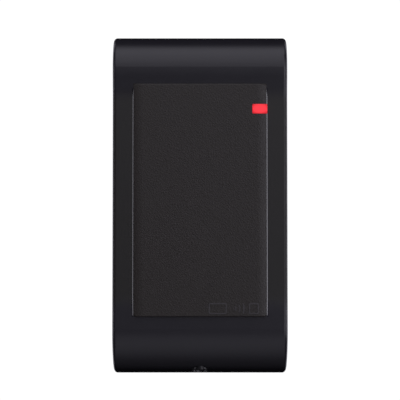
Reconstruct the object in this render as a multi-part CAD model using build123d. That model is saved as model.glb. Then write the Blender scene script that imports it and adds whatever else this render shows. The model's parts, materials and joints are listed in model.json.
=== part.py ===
from build123d import *
import os
from math import atan2, degrees

# RFID card reader for a wall or a door frame.
# Millimetres, +Z up. The wall is the plane y = 0, the front faces -Y and +X is to the right of
# somebody standing before it. The origin is the middle of the wall plate's back.
# "Depth" is always the distance out from the wall, so y = -depth.

# ---------------------------------------------------------------- case
case_width = 60.5
case_height = 118.0
case_depth = 20.0          # wall to the crest of the top roll
bottom_depth = 19.0        # wall to the crest of the bottom roll
top_roll = 11.5            # radius of the roll across the top
bottom_roll = 16.0         # radius of the roll across the bottom
recess_depth = 18.9        # flat face between the rolls
recess_top = 36.0
recess_bottom = -31.5
recess_cove = 30.0         # large inside radius, so that the flat face swells softly into each roll
side_round = 1.3           # rounding along both side edges
case_back = 0.3            # gap between the case's back edge and the wall
wall = 2.4
rim_wall = 1.2             # the thinner rim that goes round the wall plate
rim_depth = 7.1            # depth of the ledge that the lid closes on

# ---------------------------------------------------------------- raised panel
panel_half_width = 22.95
panel_z = (-38.7, 41.7)
panel_depth = 19.9
panel_corner = 1.0
panel_shoulder = 3.0       # width of the soft fall along the panel's sides
panel_fall = 0.35          # how far that fall goes down
panel_edge = 0.4
flank_z = (-38.2, 40.3)    # the sloping flanks along the foot of the panel's sides
flank_top = 19.18          # depth at which a flank starts to lean out
flank_lean = 1.55          # how far out its foot is, at the bottom of its block
panel_root = 1.0           # how far the panel's block reaches into the case's wall
panel_pocket_x = 21.0      # hollow behind the panel that keeps the wall even
panel_pocket_z = (-35.6, 38.6)

# ---------------------------------------------------------------- light window
window_x = (18.1, 23.25)
window_z = (31.3, 34.6)
window_depth = 19.97
window_corner = 0.35
window_edge = 0.25
window_seam = 0.06
window_flange = (0.8, 0.8)     # how far the flange behind the cover reaches out, and its thickness
light_stem = (1.8, 1.3)        # half width and half height of the stem down to the light
light_x = 20.6
light_z = 33.15
light_gap = 2.1            # the stem ends this far over the board

# ---------------------------------------------------------------- pictogram on the panel
sign_x = 12.3
sign_z = -35.9
sign_height = 3.8
sign_line = 0.42
sign_relief = 0.16
sign_root = 0.3            # how far the relief's block reaches into the panel
sign_arcs = (1.6, 3.0, 4.4)

# ---------------------------------------------------------------- hinge at the top
hinge_depth = 6.0
hinge_z = 53.5
hook_x = 16.0
hook_half_width = 5.0
hook_thick = 2.05          # thin enough for the socket's back lip to turn past it
hook_arm_z = (50.0, 52.3)
nose_radius = 1.2
socket_radius = 1.25       # the noses turn in these sockets with 0.05 to spare
lug_depth = (4.0, 8.4)
cheek_gap = 0.4
cheek_thick = 1.2
cheek_z = 51.2
top_relief = 2.0           # the top edge stands off the wall, so that the reader can swing

# ---------------------------------------------------------------- wall plate
plate_half_width = 28.1
plate_z = (-55.6, 54.0)
plate_thick = 2.2
plate_corner = 3.0
plate_rib_depth = 3.4
slot_spacing = 60.3        # screws of a round wall box
slot_radius = 2.1
slot_length = 9.0
hole_spacing = 83.3        # screws of a single-gang wall box
hole_radius = 2.0
hole_middle_z = 2.0
cable_half_width = 13.0
cable_z = (-22.0, -6.0)

# ---------------------------------------------------------------- lock at the bottom
lock_depth = 9.4
boss_half_width = 5.0
boss_z = (-48.6, -43.0)
boss_depth = 13.0
insert_radius = 2.3
insert_length = 5.0
insert_bore = 1.55
tower_radius = 4.8
counterbore = 2.9
lock_seat_z = -50.95
lock_web = 1.4
lock_hole = 1.8
lock_head_radius = 2.7
lock_head_z = (-57.6, -55.6)
lock_washer_thick = 0.6
lock_washer_bore = 1.55
lock_tip_z = -49.35
lock_head_edge = 0.35
lock_socket = (1.25, 1.2)  # half the width across the flats of the driver socket, and its depth
thread_pitch = 0.5
thread_radius = 1.5
thread_groove = 0.27
thread_start = 0.3         # plain length under the head
thread_point = 0.2         # the last turn tapers in by this much
insert_groove = (0.6, 0.25)    # height and depth of the two grooves round the insert
gusset_reach = 6.5
gusset_thick = 1.6
plate_rib_x = 26.5
plate_rib_half = 0.7

# ---------------------------------------------------------------- lid behind the electronics
lid_half_width = 28.8
lid_z = (-41.9, 49.1)
lid_depth = (4.6, 6.4)
seal_half_width = 28.7
bulkhead_thick = 1.8
bulkheads = (-42.0, 47.4)  # lower faces of the two walls that close the electronics bay
lid_screw_x = 24.4
lid_screw_z = (-36.8, 44.0)
lid_boss_radius = 2.9
screw_radius = 1.25
screw_pilot = 1.3
screw_head_radius = 2.3
lid_screw_length = 7.6
screw_slack = 0.15         # clearance round a screw in the part that it holds
gusset_half = 1.0
lid_corner = 1.5
lid_rib_z = (-3.0, 36.0)
lid_rib_half = (20.0, 0.5)
lid_rib_tall = 1.2
fit_gap = 0.2              # clearance round the header and under the label
cross_width = 0.7
cross_length = 2.8
cross_depth = 0.8
label_x = (-15.0, 15.0)
label_z = (8.0, 30.0)
label_thick = 0.1
label_corner = 1.0
label_margin = 0.4

# ---------------------------------------------------------------- circuit board
board_half_width = 27.5
board_z = (-39.8, 47.0)
board_depth = (10.6, 12.2)
board_notch = 3.2
board_post_z = (-36.4, 43.8)
board_post_radius = 2.4
board_screw_head = (2.1, 1.4)
board_screw_grip = 3.0     # length of a board screw inside its post
post_bore = 3.4

coil_half_width = 25.2
coil_z = (-17.5, 40.5)
coil_corner = 7.0
coil_width = 2.5
coil_tall = 2.3
coil_lead_x = (3.0, 6.0)
coil_lead_length = 3.6
coil_edge = 0.8
wire_radius = 0.2
solder_radius = 0.6
pad_half = (0.9, 3.0)      # half sizes of a glue pad across and along the coil
pad_tall = 2.0
pad_x = 14.0

# ---------------------------------------------------------------- parts on the board
# A place is the x and z of a part's middle. "Tall" is how far it stands over the board.
buzzer_place = (12.0, -27.6)
buzzer_radius = 6.0
buzzer_tall = 3.9
buzzer_edge = 0.5
buzzer_hole = (1.1, 1.2)   # radius and depth of the sound hole
buzzer_groove = (4.3, 4.7)
mark_depth = 0.15          # depth of the groove and of the dimples that mark a first lead

package_gap = 0.1          # a moulded package stands just clear of the board
package_bevel = 0.2
dimple = (0.4, 1.1)        # radius, and distance from the package's sides
controller_place = (-6.0, 14.0)
controller_size = (12.8, 7.5)
controller_tall = 2.2
controller_leads = 10
radio_place = (9.0, -4.0)
radio_size = (8.7, 3.9)
radio_tall = 1.5
radio_leads = 7
lead_pitch = 1.27
lead_half = 0.2
lead_thick = 0.2
lead_reach = 1.3           # from the package's side to the end of the foot
lead_foot = 0.7

regulator_x = (-19.3, -12.7)
regulator_z = (-9.0, -3.0)
regulator_tall = 2.3
tab_inset = 0.6
tab_length = 1.6
tab_thick = 0.6
leg_half = 0.35
leg_inset = 1.0
leg_length = 2.6

crystal_x = (4.2, 15.4)
crystal_z = (12.0, 16.8)
crystal_tall = 3.2
crystal_flange = 0.5       # width and thickness of the can's base flange
crystal_edge = 0.4

tantalum_x = (-9.4, -5.1)
tantalum_z = (-10.0, -2.7)
tantalum_tall = 2.9
film_x = (-13.0, -7.0)
film_z = (24.0, 31.2)
film_half = 1.4
film_tall = 3.0
film_edge = 0.3

small_size = (0.9, 1.7)    # width and length of the chip resistors and capacitors
small_bevel = 0.08
resistor_tall = 0.5
resistor_step = 2.4
capacitor_tall = 0.85
capacitor_step = 2.6
transistor_size = (1.4, 3.0)
transistor_tall = 1.0
transistor_places = [(2.2, -25.0), (12.6, 28.4)]
diode_size = (2.7, 4.4)
diode_tall = 2.1
diode_places = [(-10.6, -24.2), (-5.3, -24.2)]

led_half = (1.75, 1.4)
led_tall = 1.7
led_cup = (1.15, 1.1)      # radius of the cup, and how far over the board it ends
resin_top = 1.65

# ---------------------------------------------------------------- wiring header

header_half_width = 12.4
header_z = (-17.0, -11.0)
header_back = 4.8
header_wall = 1.1
pin_pitch = 2.0
pin_count = 10
pin_half = 0.32
pin_depth = (5.9, 13.4)
pin_hole = 0.55
pin_point = 0.15
header_floor = 1.4
header_corner = 0.5
key_x = 5.0                # two keyways in the header's upper wall
key_half = 0.9
key_depth = 2.0

# ---------------------------------------------------------------- tamper switch
tamper_x = -18.0
tamper_z = -28.0
tamper_travel = 1.5
plunger_radius = 1.3
plunger_guide = 1.4
plunger_flange = (2.3, 0.6)
plunger_tail = (0.9, 12.9)
plunger_tip = 0.5          # rounding of the end that rests on the wall
plunger_stand = 0.05       # that end stays this far off the wall at rest
plunger_collar = (1.1, 0.8)    # wall and height of the guide on the lid
stop_gap = 0.1
spring_mean = 1.7
spring_wire = 0.15
spring_turns = 3
switch_half = 3.0
switch_tall = 3.2
switch_bore = (1.2, 0.6)   # radius, and clearance past the plunger's tail
switch_bevel = 0.3
spring_gap = 0.02


# ================================================================ small shapes
def block(x, z, depth):
    """A box between two values each of x, z and depth."""
    middle = ((x[0] + x[1]) / 2, -(depth[0] + depth[1]) / 2, (z[0] + z[1]) / 2)
    return Pos(*middle) * Box(x[1] - x[0], depth[1] - depth[0], z[1] - z[0])


def tablet(x, z, depth, corner):
    """A box whose four edges along the depth are rounded."""
    outline = RectangleRounded(x[1] - x[0], z[1] - z[0], corner)
    place = Plane.XZ.offset(depth[0]) * Pos((x[0] + x[1]) / 2, (z[0] + z[1]) / 2)
    return extrude(place * outline, depth[1] - depth[0])


def pin(radius, x, z, depth):
    """A cylinder that stands out from the wall between two depths."""
    place = Pos(x, -(depth[0] + depth[1]) / 2, z) * Rot(90, 0, 0)
    return place * Cylinder(radius, depth[1] - depth[0])


def upright(radius, x, depth, z):
    """A cylinder along Z between two heights."""
    return Pos(x, -depth, (z[0] + z[1]) / 2) * Cylinder(radius, z[1] - z[0])


def both_sides(value):
    return (-value, value)


def tip_chamfered(shape, length, pick):
    """The shape with the edges of its one picked face chamfered."""
    return chamfer(shape.faces().sort_by(pick)[-1].edges(), length)


# ================================================================ case shells
def step_radius(run, crest_depth):
    """Radius of the arc that falls from a roll's crest to the cove, over a run along Z."""
    drop = crest_depth - recess_depth
    return (run**2 + drop**2) / (2 * drop) - recess_cove


def case_section(inset, back):
    """The case's side section, every line and arc set in by inset, in world Y and Z."""
    top = case_height / 2
    crest_high = top - top_roll
    crest_low = bottom_roll - top
    run_high = crest_high - recess_top
    run_low = recess_bottom - crest_low
    step_high = step_radius(run_high, case_depth)
    step_low = step_radius(run_low, bottom_depth)
    cove_y = -(recess_depth + recess_cove)
    turn_high = degrees(atan2(run_high, step_high - case_depth - cove_y))
    turn_low = degrees(atan2(run_low, step_low - bottom_depth - cove_y))
    floor_y = -(recess_depth - inset)
    ceiling = top - inset

    section = Curve()
    section += Line((-back, ceiling), (top_roll - case_depth, ceiling))
    section += CenterArc((top_roll - case_depth, crest_high), top_roll - inset, 90, 90)
    section += CenterArc((step_high - case_depth, crest_high), step_high - inset, 180, turn_high)
    section += CenterArc((cove_y, recess_top), recess_cove + inset, turn_high, -turn_high)
    section += Line((floor_y, recess_top), (floor_y, recess_bottom))
    section += CenterArc((cove_y, recess_bottom), recess_cove + inset, 0, -turn_low)
    section += CenterArc((step_low - bottom_depth, crest_low), step_low - inset, 180 - turn_low, turn_low)
    section += CenterArc((bottom_roll - bottom_depth, crest_low), bottom_roll - inset, 180, 90)
    section += Line((bottom_roll - bottom_depth, -ceiling), (-back, -ceiling))
    section += Line((-back, -ceiling), (-back, ceiling))
    return Plane.YZ * make_face(section.edges())


def case_outline():
    """The whole case as a solid block, its side edges rounded and its top edge relieved."""
    half = case_width / 2
    outline = extrude(case_section(0, case_back), half, both=True)
    side_edges = ShapeList()
    for side in (-half, half):
        side_edges += outline.edges().filter_by_position(Axis.X, side, side)
    side_edges -= side_edges.filter_by_position(Axis.Y, -case_back, -case_back)
    outline = fillet(side_edges, side_round)
    relief = Polyline(
        (-case_back, hinge_z),
        (-top_relief, case_height / 2),
        (-top_relief, case_height / 2 + 1),
        (1, case_height / 2 + 1),
        (1, hinge_z),
        close=True,
    )
    return outline - extrude(Plane.YZ * make_face(relief), case_width, both=True)


def panel():
    """The raised panel: flat in the middle, falling softly at its sides, with rounded edges."""
    half = panel_half_width
    flat = half - panel_shoulder
    shoulder = panel_depth - panel_fall
    root = recess_depth - panel_root
    section = Curve()
    section += Line((-half, -root), (-half, -shoulder))
    section += TangentArc((-flat, -panel_depth), (-half, -shoulder), tangent=(-1, 0))
    section += Line((-flat, -panel_depth), (flat, -panel_depth))
    section += TangentArc((flat, -panel_depth), (half, -shoulder), tangent=(1, 0))
    section += Polyline((half, -shoulder), (half, -root), (-half, -root))
    bar = extrude(Plane.XY.offset(panel_z[0]) * make_face(section.edges()), panel_z[1] - panel_z[0])
    plan = tablet(both_sides(half), panel_z, (root - 1, panel_depth + 1), panel_corner)
    body = bar & plan
    side_lines = body.edges().filter_by(Axis.Y)
    rim = body.edges().filter_by_position(Axis.Y, -panel_depth - 1, -shoulder + 0.01) - side_lines
    outer = [e for e in rim if is_panel_rim(e)]
    return fillet(outer, panel_edge)


def panel_flank(side):
    """The sloping flank along the foot of one of the panel's sides."""
    top, foot, root = panel_half_width, panel_half_width + flank_lean, panel_root - recess_depth
    corners = [(side * top, -flank_top), (side * foot, root), (side * (top - panel_root), root)]
    face = make_face(Polyline(*corners, close=True))
    return extrude(Plane.XY.offset(flank_z[0]) * face, flank_z[1] - flank_z[0])


def is_panel_rim(edge):
    """True for the edges round the panel's front, not for the lines inside it."""
    middle = edge @ 0.5
    at_side = abs(middle.X) > panel_half_width - panel_corner
    at_end = middle.Z < panel_z[0] + panel_corner or middle.Z > panel_z[1] - panel_corner
    return at_side or at_end


def pictogram():
    """Low relief on the panel: a card, three waves and a reader."""
    card = RectangleRounded(6.2, sign_height, 0.6) - RectangleRounded(5.4, sign_height - 0.8, 0.3)
    sign = Pos(-6.2, 0) * card
    for radius in sign_arcs:
        sign += Pos(-1.6, 0) * trace(CenterArc((0, 0), radius, -24, 48), sign_line)
    reader = RectangleRounded(3.4, sign_height, 0.5) - RectangleRounded(2.6, sign_height - 0.8, 0.25)
    sign += Pos(6.2, 0) * reader
    place = Plane.XZ.offset(panel_depth - sign_root) * Pos(sign_x, sign_z)
    return extrude(place * sign, sign_root + sign_relief)


def bulkhead_z(low):
    return (low, low + bulkhead_thick)


def hinge_lug(x):
    """A block under the case's top with a half-round socket and a cheek at each side."""
    half = hook_half_width + cheek_gap + cheek_thick
    lug = block((x - half, x + half), (cheek_z, case_height / 2 - 1), lug_depth)
    inside = half - cheek_thick
    lug -= block((x - inside, x + inside), (cheek_z - 1, hinge_z), (0, case_depth))
    socket = Pos(x, -hinge_depth, hinge_z) * Rot(0, 90, 0) * Cylinder(socket_radius, 2 * inside)
    return lug - socket


def case_bosses():
    """What stands inside the front cover: lid bosses, board posts and the lock screw's tower."""
    parts = []
    for x in both_sides(lid_screw_x):
        for z in lid_screw_z:
            parts.append(pin(lid_boss_radius, x, z, (lid_depth[1], recess_depth - 1)))
            gusset = (min(x, 2 * x), max(x, 2 * x))
            gusset_z = (z - gusset_half, z + gusset_half)
            parts.append(block(gusset, gusset_z, (lid_depth[1] + 2, recess_depth - 1)))
    for z in board_post_z:
        parts.append(pin(board_post_radius, 0, z, (board_depth[1], recess_depth)))
    floor = -case_height / 2
    parts.append(upright(tower_radius, 0, lock_depth, (floor, lock_seat_z + lock_web)))
    for x in both_sides(hook_x):
        parts.append(hinge_lug(x))
    return parts


def case_hollow():
    """The space inside the front cover, with the thinner rim at the back."""
    half = case_width / 2
    hollow = extrude(case_section(wall, -1), half - wall, both=True)
    rim_x = both_sides(half - rim_wall)
    hollow += block(rim_x, both_sides(case_height / 2 - rim_wall), (-1, rim_depth))
    pocket = (recess_depth - wall - 1, panel_depth - wall)
    hollow += block(both_sides(panel_pocket_x), panel_pocket_z, pocket)
    for low in bulkheads:
        hollow -= block(both_sides(half), bulkhead_z(low), (rim_depth, case_depth))
    return hollow


def front_cover():
    """The shell that is seen: two rolls, the recess, the raised panel and the light slot."""
    outline = case_outline()
    cover = outline + panel() + panel_flank(-1) + panel_flank(1) + pictogram() - case_hollow()
    for part in case_bosses():
        cover += part & outline
    for x in both_sides(lid_screw_x):
        for z in lid_screw_z:
            cover -= pin(screw_pilot, x, z, (0, lid_depth[1] + lid_screw_length))
    for z in board_post_z:
        cover -= pin(screw_pilot, 0, z, (0, board_depth[1] + post_bore))
    cover -= upright(counterbore, 0, lock_depth, (-case_height / 2 - 1, lock_seat_z))
    cover -= upright(lock_hole, 0, lock_depth, (-case_height / 2, lock_seat_z + lock_web + 1))
    slot_x = (window_x[0] - window_seam, window_x[1] + window_seam)
    slot_z = (window_z[0] - window_seam, window_z[1] + window_seam)
    cover -= tablet(slot_x, slot_z, (0, case_depth), 0.4)
    return cover


def light_pipe():
    """The red window, which goes through the cover and has a flange and a stem behind it."""
    inside = recess_depth - wall
    window = tablet(window_x, window_z, (inside, window_depth), window_corner)
    window = fillet(window.faces().sort_by(Axis.Y)[0].edges(), window_edge)
    reach, thick = window_flange
    flange_x = (window_x[0] - reach, window_x[1] + reach)
    flange_z = (window_z[0] - reach, window_z[1] + reach)
    window += tablet(flange_x, flange_z, (inside - thick, inside), 0.6)
    stem_x = (light_x - light_stem[0], light_x + light_stem[0])
    stem_z = (light_z - light_stem[1], light_z + light_stem[1])
    return window + block(stem_x, stem_z, (board_depth[1] + light_gap, inside))


def rear_cover():
    """The lid screwed on behind the electronics, with openings for the header and the plunger."""
    lid = tablet(both_sides(lid_half_width), lid_z, lid_depth, lid_corner)
    for x in both_sides(lid_screw_x):
        for z in lid_screw_z:
            lid -= pin(screw_radius + screw_slack, x, z, (0, rim_depth))
            lid -= countersink(x, z)
    header_hole = (header_z[0] - fit_gap, header_z[1] + fit_gap)
    lid -= block(both_sides(header_half_width + fit_gap), header_hole, (0, rim_depth))
    collar_wall, collar_tall = plunger_collar
    collar = (lid_depth[0] - collar_tall, lid_depth[1])
    lid += pin(plunger_guide + collar_wall, tamper_x, tamper_z, collar)
    lid -= pin(plunger_guide, tamper_x, tamper_z, (0, rim_depth))
    lid -= label_recess()
    rib_x, rib_half = lid_rib_half
    for z in lid_rib_z:
        rib = (lid_depth[1] - 0.5, lid_depth[1] + lid_rib_tall)
        lid += block(both_sides(rib_x), (z - rib_half, z + rib_half), rib)
    return lid


def label_recess():
    """The shallow pocket in the lid's back that the label sticks in."""
    x = (label_x[0] - label_margin, label_x[1] + label_margin)
    z = (label_z[0] - label_margin, label_z[1] + label_margin)
    depth = (lid_depth[0] - 1, lid_depth[0] + fit_gap)
    return tablet(x, z, depth, label_corner + label_margin)


def countersink(x, z):
    """The cone of a countersunk screw head, its wide end level with the lid's back."""
    tall = screw_head_radius - screw_radius
    place = Pos(x, -(lid_depth[0] + tall / 2), z) * Rot(90, 0, 0)
    return place * Cone(screw_head_radius, screw_radius, tall)


def cover_seal():
    """The soft ring pressed between the lid and the ledge round the electronics bay."""
    depth = (lid_depth[1], rim_depth)
    ring = tablet(both_sides(seal_half_width), lid_z, depth, lid_corner)
    hole_z = (bulkheads[0] + bulkhead_thick, bulkheads[1])
    ring -= block(both_sides(case_width / 2 - wall), hole_z, (0, case_depth))
    return ring


def rear_label():
    """A blank self-adhesive label in its shallow recess on the lid."""
    floor = lid_depth[0] + fit_gap
    return tablet(label_x, label_z, (floor - label_thick, floor), label_corner)


# ================================================================ fasteners
def threaded_rod(radius, length):
    """A rod along +Z from the origin, grooved at each turn of its thread."""
    outline = [(0, 0), (radius, 0), (radius, thread_start)]
    turns = int((length - 2 * thread_start) / thread_pitch)
    for turn in range(turns):
        low = thread_start + turn * thread_pitch
        outline.append((radius - thread_groove, low + thread_pitch / 2))
        outline.append((radius, low + thread_pitch))
    outline.append((radius - thread_point, length))
    outline.append((0, length))
    face = Plane.XZ * make_face(Polyline(*outline, close=True))
    return revolve(face, Axis.Z)


def cross_recess(tall):
    """A cross-head driver recess, sunk from z = 0 downwards."""
    arm = Box(cross_length, cross_width, 2 * tall)
    return arm + Rot(0, 0, 90) * arm


def lid_screw(x, z):
    tall = screw_head_radius - screw_radius
    head = countersink(x, z)
    back = Pos(x, -lid_depth[0], z) * Rot(90, 0, 0)
    screw = head + back * Pos(0, 0, tall) * threaded_rod(screw_radius, lid_screw_length)
    return screw - back * cross_recess(cross_depth)


def case_screws():
    """Four countersunk screws that hold the lid to the front cover."""
    screws = []
    for x in both_sides(lid_screw_x):
        for z in lid_screw_z:
            screws.append(lid_screw(x, z))
    return Compound(screws)


def board_screw(z):
    head_radius, head_tall = board_screw_head
    back = board_depth[0] - head_tall
    head = tip_chamfered(pin(head_radius, 0, z, (back, board_depth[0])), 0.3, Axis.Y)
    place = Pos(0, -board_depth[0], z) * Rot(90, 0, 0)
    length = board_depth[1] - board_depth[0] + board_screw_grip
    screw = head + place * threaded_rod(screw_radius, length)
    return screw - Pos(0, -back, z) * Rot(90, 0, 0) * cross_recess(cross_depth)


def board_screws():
    """Two screws that hold the circuit board to its posts."""
    return Compound([board_screw(z) for z in board_post_z])


def lock_screw():
    """The captive screw that locks the reader down, with a hexagon socket in its head."""
    head = upright(lock_head_radius, 0, lock_depth, lock_head_z)
    head = chamfer(head.faces().sort_by(Axis.Z)[0].edges(), lock_head_edge)
    rod = threaded_rod(thread_radius, lock_tip_z - lock_head_z[1])
    flats, socket_depth = lock_socket
    socket = extrude(RegularPolygon(flats, 6, major_radius=False), socket_depth)
    screw = head + Pos(0, -lock_depth, lock_head_z[1]) * rod
    return screw - Pos(0, -lock_depth, lock_head_z[0]) * socket


def lock_washer():
    """A nylon washer under the lock screw's head, which rides up and down with it."""
    z = (lock_head_z[1], lock_head_z[1] + lock_washer_thick)
    washer = upright(lock_head_radius, 0, lock_depth, z)
    return washer - upright(lock_washer_bore, 0, lock_depth, (z[0] - 1, z[1] + 1))


def lock_insert():
    """The knurled brass nut in the wall plate's boss."""
    z = (boss_z[0], boss_z[0] + insert_length)
    nut = upright(insert_radius, 0, lock_depth, z)
    groove_tall, groove_deep = insert_groove
    for third in (1, 2):
        middle = z[0] + third * insert_length / 3
        groove = (middle - groove_tall / 2, middle + groove_tall / 2)
        ring = upright(insert_radius + 1, 0, lock_depth, groove)
        nut -= ring - upright(insert_radius - groove_deep, 0, lock_depth, z)
    return nut - upright(insert_bore, 0, lock_depth, (z[0] - 1, z[1] + 1))


# ================================================================ wall plate
def plate_hook(x):
    """An arm out of the plate and a nose that turns up into the case's socket."""
    sides = (x - hook_half_width, x + hook_half_width)
    front = hinge_depth + nose_radius
    hook = block(sides, hook_arm_z, (plate_thick - 0.5, front))
    hook += block(sides, (hook_arm_z[0], hinge_z), (front - hook_thick, front))
    nose = Pos(x, -hinge_depth, hinge_z) * Rot(0, 90, 0) * Cylinder(nose_radius, 2 * hook_half_width)
    return hook + nose


def boss_gusset(side):
    """A triangular rib between the lock boss's side and the plate."""
    inner = side * (boss_half_width - 0.5)
    root = 0.5 - plate_thick
    outer = side * (boss_half_width + gusset_reach)
    rib = Polyline((inner, root), (outer, root), (inner, -lock_depth), close=True)
    low = (boss_z[0] + boss_z[1] - gusset_thick) / 2
    return extrude(Plane.XY.offset(low) * make_face(rib), gusset_thick)


def screw_slot(z):
    """A slot through the plate, upright, for one wall screw."""
    outline = SlotOverall(slot_length, 2 * slot_radius, rotation=90)
    return extrude(Plane.XZ.offset(-1) * Pos(0, z) * outline, plate_thick + 2)


def wall_plate():
    """The plate that stays on the wall, with two hooks at the top and the lock's boss below."""
    plate = tablet(both_sides(plate_half_width), plate_z, (0, plate_thick), plate_corner)
    rib_z = (plate_z[0] + 5, hook_arm_z[0] - 4)
    for x in both_sides(plate_rib_x):
        rib_x = (x - plate_rib_half, x + plate_rib_half)
        plate += block(rib_x, rib_z, (plate_thick - 0.5, plate_rib_depth))
    for x in both_sides(hook_x):
        plate += plate_hook(x)
    plate += block(both_sides(boss_half_width), boss_z, (plate_thick - 0.5, boss_depth))
    for side in (-1, 1):
        plate += boss_gusset(side)
    plate -= upright(insert_radius, 0, lock_depth, (boss_z[0] - 1, boss_z[0] + insert_length))
    for z in both_sides(slot_spacing / 2):
        plate -= screw_slot(z)
    for z in (hole_middle_z - hole_spacing / 2, hole_middle_z + hole_spacing / 2):
        plate -= pin(hole_radius, 0, z, (-1, plate_thick + 1))
    plate -= tablet(both_sides(cable_half_width), cable_z, (-1, plate_thick + 1), 2.0)
    plate -= pin(plunger_flange[0], tamper_x, tamper_z, (-1, plate_thick + 1))
    return plate


# ================================================================ electronics
def main_board():
    """The circuit board, notched for the lid's bosses and drilled for what goes through it."""
    board = tablet(both_sides(board_half_width), board_z, board_depth, 1.0)
    through = (board_depth[0] - 1, board_depth[1] + 1)
    for x in both_sides(lid_screw_x):
        for z in lid_screw_z:
            board -= pin(board_notch, x, z, through)
            outer_x = (min(x, 2 * x), max(x, 2 * x))
            board -= block(outer_x, (z - board_notch, z + board_notch), through)
    for z in board_post_z:
        board -= pin(screw_pilot + 0.1, 0, z, through)
    for x in pin_places():
        board -= pin(pin_hole, x, header_middle(), through)
    return board - pin(plunger_radius, tamper_x, tamper_z, through)


def coil_ring(outset, depth):
    """A rounded rectangular ring inside the coil's outline, cut to a pair of depths."""
    half = coil_half_width - outset
    z = (coil_z[0] + outset, coil_z[1] - outset)
    return tablet(both_sides(half), z, depth, coil_corner - outset)


def antenna_coil():
    """The wound antenna, a flat bundle of wire with rounded edges."""
    depth = (board_depth[1], board_depth[1] + coil_tall)
    ring = coil_ring(0, depth) - coil_ring(coil_width, (depth[0] - 1, depth[1] + 1))
    return fillet(ring.faces().sort_by(Axis.Y)[0].edges(), coil_edge)


def antenna_leads():
    """The coil's two ends, each soldered down to the board."""
    leads = []
    low = coil_z[0] - coil_lead_length
    for x in coil_lead_x:
        lead = upright(wire_radius, x, board_depth[1] + 1.5 * wire_radius, (low, coil_z[0]))
        joint = Pos(x, -board_depth[1], low) * Sphere(solder_radius)
        joint &= block((x - 1, x + 1), (low - 1, low + 1), (board_depth[1], board_depth[1] + 1))
        leads.append(lead + joint)
    return Compound(leads)


def coil_pads():
    """Blobs of hot glue that hold the coil down, one on each of its sides."""
    across, along = pad_half
    inset = coil_width + across
    middle_z = (coil_z[0] + coil_z[1]) / 2
    pads = []
    for side, end in ((-1, coil_z[0]), (1, coil_z[1])):
        pads.append(glue_pad(side * (coil_half_width - inset), middle_z, across, along))
        pads.append(glue_pad(side * pad_x, end - side * inset, along, across))
    return Compound(pads)


def glue_pad(x, z, half_x, half_z):
    depth = (board_depth[1], board_depth[1] + pad_tall)
    pad = tablet((x - half_x, x + half_x), (z - half_z, z + half_z), depth, 0.7)
    return fillet(pad.faces().sort_by(Axis.Y)[0].edges(), 0.6)


def buzzer():
    """A round sounder with its sound hole in the middle of its face."""
    x, z = buzzer_place
    top = board_depth[1] + buzzer_tall
    can = pin(buzzer_radius, x, z, (board_depth[1], top))
    can = fillet(can.faces().sort_by(Axis.Y)[0].edges(), buzzer_edge)
    hole_radius, hole_deep = buzzer_hole
    can -= pin(hole_radius, x, z, (top - hole_deep, top + 1))
    inner, outer = buzzer_groove
    return can - (pin(outer, x, z, (top - mark_depth, top + 1)) - pin(inner, x, z, (top - 1, top + 2)))


def gull_lead(x, z, side, lift):
    """One bent lead of a chip, out from the package's side: a foot, a riser and a shoulder."""
    base = board_depth[1]
    wide = (x - lead_half, x + lead_half)
    end = z + side * lead_reach
    heel = end - side * lead_foot
    back = heel + side * lead_thick
    lead = block(wide, sorted((heel, end)), (base, base + lead_thick))
    lead += block(wide, sorted((heel, back)), (base, base + lift))
    return lead + block(wide, sorted((z, back)), (base + lift - lead_thick, base + lift))


def moulded(x, z, tall):
    """A moulded package held just clear of the board, its top edges bevelled."""
    base = board_depth[1] + package_gap
    body = block(x, z, (base, base + tall))
    return chamfer(body.faces().sort_by(Axis.Y)[0].edges(), package_bevel)


def chip_body(place, size, tall):
    """A chip's package, with a dimple at its first lead."""
    x = (place[0] - size[0] / 2, place[0] + size[0] / 2)
    z = (place[1] - size[1] / 2, place[1] + size[1] / 2)
    top = board_depth[1] + package_gap + tall
    radius, inset = dimple
    return moulded(x, z, tall) - pin(radius, x[0] + inset, z[0] + inset, (top - mark_depth, top + 1))


def microcontroller():
    """The chip that runs the reader."""
    return chip_body(controller_place, controller_size, controller_tall)


def radio_chip():
    """The chip that drives the antenna and reads the card."""
    return chip_body(radio_place, radio_size, radio_tall)


def lead_rows(place, size, count, lift):
    """The leads along both long sides of a chip."""
    leads = []
    for number in range(count):
        x = place[0] + (number - (count - 1) / 2) * lead_pitch
        for side in (-1, 1):
            leads.append(gull_lead(x, place[1] + side * size[1] / 2, side, lift))
    return leads


def chip_leads():
    """All the tinned leads of the two chips, each a solid of its own."""
    leads = lead_rows(controller_place, controller_size, controller_leads, controller_tall / 2)
    leads += lead_rows(radio_place, radio_size, radio_leads, radio_tall / 2)
    return Compound(leads)


def voltage_regulator():
    """The regulator's package."""
    return moulded(regulator_x, regulator_z, regulator_tall)


def regulator_tab():
    """The regulator's cooling tab, flat on the board, and its two legs."""
    depth = (board_depth[1], board_depth[1] + tab_thick)
    tab_x = (regulator_x[0] + tab_inset, regulator_x[1] - tab_inset)
    metal = [block(tab_x, (regulator_z[1], regulator_z[1] + tab_length), depth)]
    for x in (regulator_x[0] + leg_inset, regulator_x[1] - leg_inset):
        leg = (x - leg_half, x + leg_half)
        metal.append(block(leg, (regulator_z[0] - leg_length, regulator_z[0]), depth))
    return Compound(metal)


def crystal():
    """The timing crystal's drawn metal can, lying on its base flange."""
    base = board_depth[1]
    rim = crystal_flange
    flange = tablet(crystal_x, crystal_z, (base, base + rim), (crystal_z[1] - crystal_z[0]) / 2 - 0.1)
    can_x = (crystal_x[0] + rim, crystal_x[1] - rim)
    can_z = (crystal_z[0] + rim, crystal_z[1] - rim)
    can = tablet(can_x, can_z, (base, base + crystal_tall), (can_z[1] - can_z[0]) / 2 - 0.05)
    return flange + fillet(can.faces().sort_by(Axis.Y)[0].edges(), crystal_edge)


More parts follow.
